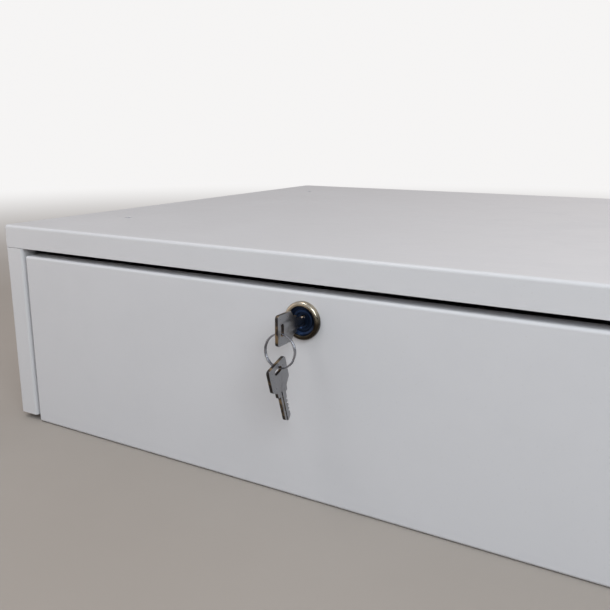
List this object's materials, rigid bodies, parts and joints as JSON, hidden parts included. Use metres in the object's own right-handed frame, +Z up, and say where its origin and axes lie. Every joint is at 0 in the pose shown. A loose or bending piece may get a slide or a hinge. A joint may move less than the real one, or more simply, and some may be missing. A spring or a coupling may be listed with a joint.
{
  "type": "under desk drawer",
  "caption": "Shallow lockable steel drawer in a folded casing that hangs under a desk top, on telescopic ball bearing runners, with a cam lock, key and spare key on a ring.",
  "frame": {"origin": "centre of the casing's flat top face, which lies against the underside of the desk", "axes": "+Z up, out of the top face; +X to the right seen from the front; the front faces -Y and the drawer opens along -Y"},
  "size_m": [0.495, 0.4666, 0.146],
  "materials": {
    "casing_paint": "semi-gloss powder coat, light grey",
    "drawer_paint": "semi-gloss powder coat, light grey",
    "zinc_steel": "bright zinc plated",
    "cage_steel": "rolled strip",
    "ball_steel": "polished",
    "nickel": "nickel plated, polished",
    "plug_steel": "dark plated",
    "rubber": "matt",
    "lever_plastic": "satin moulded"
  },
  "bodies": {
    "casing": {"top_panel": "casing_paint", "back_panel": "casing_paint", "side_panel_left": "casing_paint", "side_panel_right": "casing_paint", "runner_bracket_left": "zinc_steel", "runner_bracket_right": "zinc_steel", "runner_outer_left": "zinc_steel", "runner_outer_right": "zinc_steel", "runner_screws_left": "zinc_steel", "runner_screws_right": "zinc_steel", "runner_buffer_left": "rubber", "runner_buffer_right": "rubber"},
    "drawer": {"front_outer": "drawer_paint", "front_inner": "drawer_paint", "tray": "drawer_paint", "tray_back": "drawer_paint", "front_screws": "zinc_steel", "tray_rivets": "zinc_steel", "lock_body": "nickel", "lock_nut": "zinc_steel", "runner_inner_left": "zinc_steel", "runner_inner_right": "zinc_steel", "tray_screws_left": "zinc_steel", "tray_screws_right": "zinc_steel"},
    "runner_middle_left": {"runner_middle_left": "zinc_steel"},
    "ball_cage_outer_left": {"cage_outer_left": "cage_steel", "balls_outer_left": "ball_steel"},
    "ball_cage_inner_left": {"cage_inner_left": "cage_steel", "balls_inner_left": "ball_steel"},
    "release_lever_left": {"release_lever_left": "lever_plastic"},
    "runner_middle_right": {"runner_middle_right": "zinc_steel"},
    "ball_cage_outer_right": {"cage_outer_right": "cage_steel", "balls_outer_right": "ball_steel"},
    "ball_cage_inner_right": {"cage_inner_right": "cage_steel", "balls_inner_right": "ball_steel"},
    "release_lever_right": {"release_lever_right": "lever_plastic"},
    "lock_plug": {"lock_plug": "plug_steel", "lock_cam": "zinc_steel", "cam_screw": "zinc_steel"},
    "key": {"key": "nickel"},
    "key_ring": {"key_ring": "nickel"},
    "spare_key": {"spare_key": "nickel"}
  },
  "joints": [
    {"name": "drawer_slide", "type": "slide", "parent": "casing", "child": "drawer", "axis": [0, -1, 0], "range_m": [0, 0.385]},
    {"name": "middle_slide_left", "type": "slide", "parent": "casing", "child": "runner_middle_left", "axis": [0, -1, 0], "range_m": [0, 0.1925]},
    {"name": "cage_outer_slide_left", "type": "slide", "parent": "casing", "child": "ball_cage_outer_left", "axis": [0, -1, 0], "range_m": [0, 0.09625]},
    {"name": "cage_inner_slide_left", "type": "slide", "parent": "casing", "child": "ball_cage_inner_left", "axis": [0, -1, 0], "range_m": [0, 0.28875]},
    {"name": "lever_left", "type": "hinge", "parent": "drawer", "child": "release_lever_left", "pos_m": [-0.2207, -0.105, -0.1], "axis": [1, 0, 0], "range_deg": [-3, 3]},
    {"name": "middle_slide_right", "type": "slide", "parent": "casing", "child": "runner_middle_right", "axis": [0, -1, 0], "range_m": [0, 0.1925]},
    {"name": "cage_outer_slide_right", "type": "slide", "parent": "casing", "child": "ball_cage_outer_right", "axis": [0, -1, 0], "range_m": [0, 0.09625]},
    {"name": "cage_inner_slide_right", "type": "slide", "parent": "casing", "child": "ball_cage_inner_right", "axis": [0, -1, 0], "range_m": [0, 0.28875]},
    {"name": "lever_right", "type": "hinge", "parent": "drawer", "child": "release_lever_right", "pos_m": [0.2207, -0.105, -0.1], "axis": [1, 0, 0], "range_deg": [-3, 3]},
    {"name": "lock_turn", "type": "hinge", "parent": "drawer", "child": "lock_plug", "pos_m": [0, -0.215, -0.037], "axis": [0, 1, 0], "range_deg": [0, 90]},
    {"name": "key_pull", "type": "slide", "parent": "lock_plug", "child": "key", "axis": [0, -1, 0], "range_m": [0, 0.02]},
    {"name": "ring_swing", "type": "hinge", "parent": "key", "child": "key_ring", "pos_m": [0, -0.2383, -0.0392], "axis": [1, 0, 0], "range_deg": [-65, 5]},
    {"name": "spare_key_swing", "type": "hinge", "parent": "key_ring", "child": "spare_key", "pos_m": [0, -0.24054, -0.05746], "axis": [1, 0, 0], "range_deg": [-60, 10]}
  ],
  "couplings": [
    {"joint": "middle_slide_left", "follows": "drawer_slide", "ratio": 0.5},
    {"joint": "cage_outer_slide_left", "follows": "drawer_slide", "ratio": 0.25},
    {"joint": "cage_inner_slide_left", "follows": "drawer_slide", "ratio": 0.75},
    {"joint": "middle_slide_right", "follows": "drawer_slide", "ratio": 0.5},
    {"joint": "cage_outer_slide_right", "follows": "drawer_slide", "ratio": 0.25},
    {"joint": "cage_inner_slide_right", "follows": "drawer_slide", "ratio": 0.75}
  ]
}
